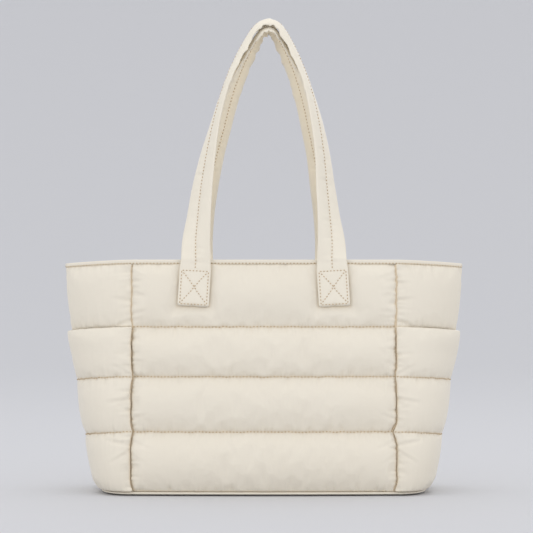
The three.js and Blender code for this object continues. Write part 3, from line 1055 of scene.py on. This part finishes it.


# %% [markdown]
# Each strap is one grid: a column for each point of the section and a row for each step of the path,
# merged where the section closes. Its ends are tucked in, with round corners and a small notch in the
# middle. The inside of the real strap looks yellower than its outside, from the warm light that
# bounces between the straps, so the inner face carries an attribute with which the material paints
# that light in.

# %% Two straps
TAB_END_ROWS = 4
TAB_CORNER_FROM = 0.85
TAB_CORNER = 1.6 * MM
TAB_NOTCH = 0.9 * MM
NOTCH_HALF = 0.14
# painted light: how strongly the warm bounce light is painted on a strap's inner face
INNER_BOUNCE_SHARE = 0.85


def add_strap(name, side, solid):
    frames = strap_frames(side)
    last = len(frames) - 1

    def place(column, row):
        across, face = FACES[column]
        f = frames[row]
        end = min(row, last - row)
        point = strap_point(f, across, face, side)
        if end == 0:
            point = strap_point(f, across, 0, side)
        if end < TAB_END_ROWS:
            corner = max(0.0, abs(across) - TAB_CORNER_FROM) / (1 - TAB_CORNER_FROM)
            tuck = TAB_CORNER * corner ** 2 + TAB_NOTCH * hump(across, NOTCH_HALF)
            point.z += tuck * (1 - end / TAB_END_ROWS)
        return point

    shape = sewn_grid(range(len(FACES)), range(len(frames)), place)
    cloth = shape.loops.layers.uv.new("Cloth")
    for face in shape.faces:
        for loop in face.loops:
            row, column = divmod(loop.vert.index, len(FACES))
            loop[cloth].uv = (FACES[column][0] * STRAP_WIDTH / 2, frames[row]["at"])
    # painted light: on a strap, the seam attribute holds the warm bounce light of its inner face
    inside = shape.verts.layers.float.new("seam")
    for vertex in shape.verts:
        across, face = FACES[vertex.index % len(FACES)]
        vertex[inside] = INNER_BOUNCE_SHARE * (1 - across ** 8) if face < 0 else 0.0
    bmesh.ops.remove_doubles(shape, verts=shape.verts[:], dist=0.02 * MM)
    bmesh.ops.recalc_face_normals(shape, faces=shape.faces[:])
    strap = new_piece(name, shape)
    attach(strap, "root")
    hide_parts(solid)
    print(name, len(strap.data.polygons), "faces,", round(frames[-1]["at"], 3), "m long")
    return strap, frames


strap_front, frames_front = add_strap("strap_front_padded", -1, "strap_front")
strap_back, frames_back = add_strap("strap_back_padded", 1, "strap_back")

# %% [markdown]
# ## Stitches
# The thread is a shade browner than the cloth and shows as a line of short dashes. A texture could
# draw them, but close up they would look flat. Each stitch is a small squashed ball with few faces,
# laid along its seam just above the cloth. There are over a thousand, in one mesh for each kind of
# seam. They are made in short runs, because the operator slows down on a big mesh.

# %% Making stitches
STITCH_PITCH = 3.8 * MM
STITCH_LENGTH = 2 * MM
STITCH_WIDTH = 1.15 * MM
GROOVE_LIFT = 1.1 * MM
FLAT_LIFT = 0.35 * MM
RUN_OF_STITCHES = 40
threads = {"padded_cloth": [], "strap_cloth": []}


def stitch(slot_name, points, normals, lift):
    """Lay stitches along a line of points, each turned to the normal of the point nearest to it."""
    even = evenly(points, STITCH_PITCH)
    finder = KDTree(len(points))
    for i, point in enumerate(points):
        finder.insert(point, i)
    finder.balance()
    for number, (before, after) in enumerate(zip(even, even[1:])):
        if number % RUN_OF_STITCHES == 0:
            shape = bmesh.new()
            threads[slot_name].append(shape)
        middle = (before + after) / 2
        middle += normals[finder.find(middle)[1]] * lift
        along = (after - before).normalized()
        normal = normals[finder.find(middle)[1]]
        across = normal.cross(along).normalized()
        normal = along.cross(across)
        turn = Matrix((along, across, normal)).transposed().to_4x4()
        size = Matrix.Diagonal((STITCH_LENGTH / 2, STITCH_WIDTH / 2, STITCH_WIDTH / 2, 1))
        matrix = Matrix.Translation(middle) @ turn @ size
        bmesh.ops.create_uvsphere(shape, u_segments=6, v_segments=4, radius=1, matrix=matrix)


print("one stitch each", round(STITCH_PITCH / MM, 1), "mm")

# %% [markdown]
# The quilting stitches follow the finished pads, found again through the cut attribute. The rim's
# follow the line round the body, and the straps' follow the section's own function: one line up the
# middle of each face, and a box with a cross on each tab.

# %% Sewing
RIM_STITCH_RISE = 0.7 * MM
RIM_TURN = 0.2
LINE_STEPS = 20


def sewn_line(pad, height):
    """Points and normals of a pad's outer face along one of its quilting seams."""
    cuts = pad.data.attributes["cut"].data
    found = [v for v in pad.data.vertices if cuts[v.index].vector[2] > 0.99
             and abs(cuts[v.index].vector[1] - height) < 0.05 * MM]
    found.sort(key=lambda v: cuts[v.index].vector[0])
    return [v.co.copy() for v in found], [v.normal.copy() for v in found]


for solid in ("front_panel", "back_panel", "side_pocket_left", "side_pocket_right"):
    for height in panel_seams[1:4] if solid.endswith("panel") else pocket_seams[1:]:
        stitch("padded_cloth", *sewn_line(pads[solid], height), GROOVE_LIFT)

rim_line = [point + Vector((0, 0, RIM_STITCH_RISE)) for point in body_line(1.0, RIM_PROUD)]
rim_line.append(rim_line[0])
rim_normals = [Vector((point.x * RIM_TURN, point.y, 0)).normalized() for point in rim_line]
stitch("padded_cloth", rim_line, rim_normals, FLAT_LIFT)

for frames, side in ((frames_front, -1), (frames_back, 1)):
    above = [f for f in frames if f["middle"].z > TAB_TOP]
    for face in (1, -1):
        line = [strap_point(f, 0.0, face, side) for f in above]
        stitch("strap_cloth", line, [f["normal"] * face for f in above], FLAT_LIFT)
    for leg in (frames[: len(frames) // 2], frames[len(frames) // 2:]):
        for (ax, ay), (bx, by) in box_lines():
            line = []
            normals = []
            for share in run(0, 1, LINE_STEPS):
                x, y = mix(ax, bx, share), mix(ay, by, share)
                f = min(leg, key=lambda g: abs(g["middle"].z - TAB_BOTTOM - y))
                line.append(strap_point(f, x / f["half"], 1, side))
                normals.append(f["normal"])
            stitch("strap_cloth", line, normals, FLAT_LIFT)

stitching = {}
for slot_name, runs in threads.items():
    piece = new_piece("stitches_" + slot_name.removesuffix("_cloth"), joined(runs))
    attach(piece, "root")
    stitching[slot_name] = piece
    print(piece.name, len(piece.data.polygons), "faces")

# %% [markdown]
# ## The cloth's finish
# The shell is a matte cream nylon with a fine plain weave and a faint bloom at glancing angles. The
# weave, the crumple of thin cloth over padding and the slow change of tone go into one node group,
# which every cloth material uses with values of its own. The weave follows the flat cloth's own UV
# map, so it bends with the gathers, and the crumple and the tone fill the space round the bag.

# %% Cloth nodes
CRUMPLE_SCALE = 55
TONE_SCALE = 14


def feed(tree, socket, source):
    """Link an output to an input, or write a plain value there."""
    if isinstance(source, bpy.types.NodeSocket):
        tree.links.new(source, socket)
    else:
        socket.default_value = source


def calculated(tree, operation, first, second):
    """The result of a Math node."""
    node = tree.nodes.new("ShaderNodeMath")
    node.operation = operation
    feed(tree, node.inputs[0], first)
    feed(tree, node.inputs[1], second)
    return node.outputs[0]


def mixed(tree, factor, first, second):
    """The result of a Mix node between two colours."""
    node = tree.nodes.new("ShaderNodeMix")
    node.data_type = "RGBA"
    feed(tree, node.inputs["Factor"], factor)
    feed(tree, node.inputs["A"], first)
    feed(tree, node.inputs["B"], second)
    return node.outputs["Result"]


def cloth_group():
    group = bpy.data.node_groups.new("Woven shell", "ShaderNodeTree")
    for name, kind in (("Cloth", "NodeSocketVector"), ("Threads", "NodeSocketFloat"),
                       ("Weave Depth", "NodeSocketFloat"), ("Crumple", "NodeSocketFloat")):
        group.interface.new_socket(name, in_out="INPUT", socket_type=kind)
    for name in ("Height", "Tone"):
        group.interface.new_socket(name, in_out="OUTPUT", socket_type="NodeSocketFloat")
    nodes, links = group.nodes, group.links
    enter = nodes.new("NodeGroupInput")
    leave = nodes.new("NodeGroupOutput")
    heights = []
    for direction in ("X", "Y"):
        wave = nodes.new("ShaderNodeTexWave")
        wave.bands_direction = direction
        wave.inputs["Distortion"].default_value = 0.3
        wave.inputs["Detail"].default_value = 0.0
        links.new(enter.outputs["Cloth"], wave.inputs["Vector"])
        links.new(enter.outputs["Threads"], wave.inputs["Scale"])
        heights.append(wave.outputs["Fac"])
    weave = calculated(group, "MULTIPLY", *heights)
    deep = calculated(group, "MULTIPLY", weave, enter.outputs["Weave Depth"])
    place = nodes.new("ShaderNodeTexCoord")
    crumple = nodes.new("ShaderNodeTexNoise")
    crumple.inputs["Scale"].default_value = CRUMPLE_SCALE
    crumple.inputs["Detail"].default_value = 4
    crumple.inputs["Roughness"].default_value = 0.55
    links.new(place.outputs["Object"], crumple.inputs["Vector"])
    bend = calculated(group, "MULTIPLY", crumple.outputs["Fac"], enter.outputs["Crumple"])
    links.new(calculated(group, "ADD", deep, bend), leave.inputs["Height"])
    tone = nodes.new("ShaderNodeTexNoise")
    tone.inputs["Scale"].default_value = TONE_SCALE
    tone.inputs["Detail"].default_value = 2
    links.new(place.outputs["Object"], tone.inputs["Vector"])
    links.new(tone.outputs["Fac"], leave.inputs["Tone"])
    return group


WOVEN = cloth_group()
print("cloth nodes:", len(WOVEN.nodes))

# %% [markdown]
# Every cloth is two close tones and a third one, which comes in where the seam attribute is near 1.
# The third one is painted light: a tan painted shade in the grooves of the pads, and on the inside of
# a strap a lighter, yellower cream, painted for the warm light that bounces between the straps. The
# cube of the attribute keeps it close to the stitches. Apart from the tones, only the crumple differs
# from cloth to cloth.

# %% Cloth materials
# The wave texture repeats every 0.314 / scale metres, which is 1.4 mm here.
WEAVE_SCALE = 220
WEAVE_DEPTH = 0.03 * MM
PAINTED_LIGHT_POWER = 3


def new_material(name, roughness, specular):
    """A material with nodes, and the shader in it."""
    material = bpy.data.materials.new(name)
    material.use_nodes = True
    shader = material.node_tree.nodes["Principled BSDF"]
    shader.inputs["Roughness"].default_value = roughness
    shader.inputs["Specular IOR Level"].default_value = specular
    return material, shader


def cloth_material(name, light, warm, painted_light_tone, crumple):
    """A cloth of two close tones, and a third tone of painted light where its seam attribute is near 1.
    """
    material, shader = new_material(name, 0.6, 0.35)
    tree = material.node_tree
    nodes, links = tree.nodes, tree.links
    shader.inputs["Sheen Weight"].default_value = 0.25
    shader.inputs["Sheen Roughness"].default_value = 0.4
    woven = nodes.new("ShaderNodeGroup")
    woven.node_tree = WOVEN
    woven.inputs["Threads"].default_value = WEAVE_SCALE
    woven.inputs["Weave Depth"].default_value = WEAVE_DEPTH
    woven.inputs["Crumple"].default_value = crumple
    flat = nodes.new("ShaderNodeUVMap")
    flat.uv_map = "Cloth"
    links.new(flat.outputs["UV"], woven.inputs["Cloth"])
    tones = mixed(tree, woven.outputs["Tone"], (*light, 1), (*warm, 1))
    # the attribute that carries the painted shade of the pads and the painted bounce light of the straps
    seam = nodes.new("ShaderNodeAttribute")
    seam.attribute_name = "seam"
    close = calculated(tree, "POWER", seam.outputs["Fac"], PAINTED_LIGHT_POWER)
    links.new(mixed(tree, close, tones, (*painted_light_tone, 1)), shader.inputs["Base Color"])
    bump = nodes.new("ShaderNodeBump")
    bump.inputs["Strength"].default_value = 1
    bump.inputs["Distance"].default_value = 1
    links.new(woven.outputs["Height"], bump.inputs["Height"])
    links.new(bump.outputs["Normal"], shader.inputs["Normal"])
    return material


CREAM = (0.80, 0.745, 0.64)
WARM = (0.775, 0.715, 0.605)
# painted shade: the tan of the cloth down in its stitched grooves
PAINTED_SHADE_TAN = (0.71, 0.62, 0.48)
# painted light: the straps are the shell's cloth, painted a few per cent lighter to stand in for the
# light they catch
STRAP_LIT_CREAM = (0.83, 0.775, 0.665)
STRAP_LIT_WARM = (0.805, 0.745, 0.63)
# painted light: the yellower cream painted on the strap's inside for the bounce between the straps
PAINTED_BOUNCE_CREAM = (0.95, 0.85, 0.66)
# painted shade: the seams' folded edges are the cream cloth, painted tan and brown for the shade in the
# fold
FOLD_SHADE_TAN = (0.68, 0.56, 0.4)
FOLD_SHADE_BROWN = (0.6, 0.48, 0.33)
shell = cloth_material("cream_nylon_quilted", CREAM, WARM, PAINTED_SHADE_TAN, 0.25 * MM)
band = cloth_material("cream_nylon_folded", CREAM, WARM, PAINTED_SHADE_TAN, 0.4 * MM)
# painted shade on the corner seams' folded edges
fold_shade_cloth = cloth_material("cream_nylon_edge", FOLD_SHADE_TAN, FOLD_SHADE_BROWN, PAINTED_SHADE_TAN, 0.2 * MM)
webbing = cloth_material("cream_nylon_strap", STRAP_LIT_CREAM, STRAP_LIT_WARM, PAINTED_BOUNCE_CREAM, 0.45 * MM)
print("cloth materials:", shell.name, band.name, fold_shade_cloth.name, webbing.name)

# %% [markdown]
# The thread is spun, so it is duller than the cloth and its tan is a little uneven from stitch to
# stitch. A fine noise between two tans is enough at this size. Then every piece gets its material.

# %% Thread
THREAD_LIGHT = (0.58, 0.44, 0.27, 1)
THREAD_DARK = (0.5, 0.37, 0.22, 1)
FUZZ_SCALE = 900
thread, spun = new_material("tan_thread", 0.75, 0.2)
fuzz = thread.node_tree.nodes.new("ShaderNodeTexNoise")
fuzz.inputs["Scale"].default_value = FUZZ_SCALE
spun_tan = mixed(thread.node_tree, fuzz.outputs["Fac"], THREAD_LIGHT, THREAD_DARK)
thread.node_tree.links.new(spun_tan, spun.inputs["Base Color"])

for pad in [*pads.values(), base]:
    pad.data.materials.append(shell)
rim.data.materials.append(band)
tape.data.materials.append(fold_shade_cloth)
for strap in (strap_front, strap_back):
    strap.data.materials.append(webbing)
for piece in stitching.values():
    piece.data.materials.append(thread)

# %% [markdown]
# ## Studio
# The bag stands on a pale paper floor without any edge in sight. A wall behind it would do for one
# view, but would stand in the way of a camera at the back. So the floor is a wide round bowl, which
# curves up beyond the camera on every side. Its profile is a line of vertices, and one full spin of
# that line makes the bowl.

# %% Studio floor
FLOOR_RADIUS = 3.0
BOWL_RADIUS = 3.0
BOWL_HEIGHT = 1.4
BOWL_STEPS = 24
BOWL_SIDES = 96
PAPER = (0.68, 0.683, 0.708, 1)


def studio_profile():
    """Points from the middle of the floor out to the edge of the bowl, as radius and height."""
    points = [(radius, 0.0) for radius in run(0, FLOOR_RADIUS, 6)]
    for angle in run(0, math.acos(1 - BOWL_HEIGHT / BOWL_RADIUS), BOWL_STEPS)[1:]:
        points.append((FLOOR_RADIUS + BOWL_RADIUS * math.sin(angle), BOWL_RADIUS * (1 - math.cos(angle))))
    return points


shape = bmesh.new()
line = [shape.verts.new((radius, 0, height)) for radius, height in studio_profile()]
edges = [shape.edges.new(pair) for pair in zip(line, line[1:])]
turn = {"axis": (0, 0, 1), "angle": 2 * math.pi, "steps": BOWL_SIDES, "use_merge": True}
bmesh.ops.spin(shape, geom=line + edges, **turn)
bmesh.ops.remove_doubles(shape, verts=shape.verts, dist=0.1 * MM)
shape.normal_update()
middle = min(shape.faces, key=lambda face: face.calc_center_median().length)
if middle.normal.z < 0:
    bmesh.ops.reverse_faces(shape, faces=shape.faces)
sweep = new_piece("sweep", shape)
paper, paper_shader = new_material("pale_paper", 0.8, 0.2)
paper_shader.inputs["Base Color"].default_value = PAPER
sweep.data.materials.append(paper)
print("floor:", len(sweep.data.polygons), "faces")

# %% [markdown]
# ### Lights and camera
# One broad soft light hangs overhead. Two large ones fill in from the sides of the front and one from
# behind, and the open sky above the bowl lifts the shadows. The fills are linked to the bag alone, as a
# studio shades a lamp off the floor, so they leave no patch on it. The camera is far off, with a long
# lens, and looks level at the middle of the bag, so that upright lines stay upright.

# %% Lights and camera
OVERHEAD_POWER = 7
FILL_LEFT_POWER = 21.5
FILL_RIGHT_POWER = 20.5
FILL_BACK_POWER = 12
bag_pieces = bpy.data.collections.new("bag_pieces")
for piece in [*pads.values(), base, rim, tape, strap_front, strap_back, *stitching.values()]:
    bag_pieces.objects.link(piece)


def area_light(name, place, target, width, height, power, lights_only=None):
    """A soft rectangular light, which the camera can't see. It lights one collection or everything."""
    light = bpy.data.lights.new(name, "AREA")
    light.shape = "RECTANGLE"
    light.size = width
    light.size_y = height
    light.energy = power
    lamp = bpy.data.objects.new(name, light)
    lamp.location = place
    lamp.rotation_euler = (Vector(target) - Vector(place)).to_track_quat("-Z", "Y").to_euler()
    lamp.visible_camera = False
    lamp.light_linking.receiver_collection = lights_only
    scene.collection.objects.link(lamp)


area_light("overhead", (0, 0.1, 2.3), (0, 0, 0.2), 2.2, 1.6, OVERHEAD_POWER)
area_light("fill_left", (-2.35, -2.3, 1.0), (0, 0, 0.3), 2.0, 1.6, FILL_LEFT_POWER, bag_pieces)
area_light("fill_right", (2.35, -2.3, 0.9), (0, 0, 0.3), 2.0, 1.6, FILL_RIGHT_POWER, bag_pieces)
area_light("fill_back", (0.9, 2.9, 1.2), (0, 0, 0.3), 2.0, 1.6, FILL_BACK_POWER, bag_pieces)

world = bpy.data.worlds.new("studio")
world.use_nodes = True
sky = world.node_tree.nodes["Background"]
sky.inputs["Color"].default_value = (0.98, 0.985, 1, 1)
sky.inputs["Strength"].default_value = 0.9
scene.world = world
scene.view_settings.view_transform = "Standard"
scene.view_settings.look = "None"

CAMERA_DISTANCE = 2.6
CAMERA_HEIGHT = 0.2533
CAMERA_SIDE = 0.003
FOCAL = 154.9
SENSOR = 36.0
camera_data = bpy.data.cameras.new("camera")
camera_data.lens = FOCAL
camera_data.sensor_width = SENSOR
camera_data.sensor_fit = "HORIZONTAL"
camera = bpy.data.objects.new("camera", camera_data)
camera.location = (CAMERA_SIDE, -CAMERA_DISTANCE, CAMERA_HEIGHT)
camera.rotation_euler = (math.pi / 2, 0, 0)
scene.collection.objects.link(camera)
scene.camera = camera
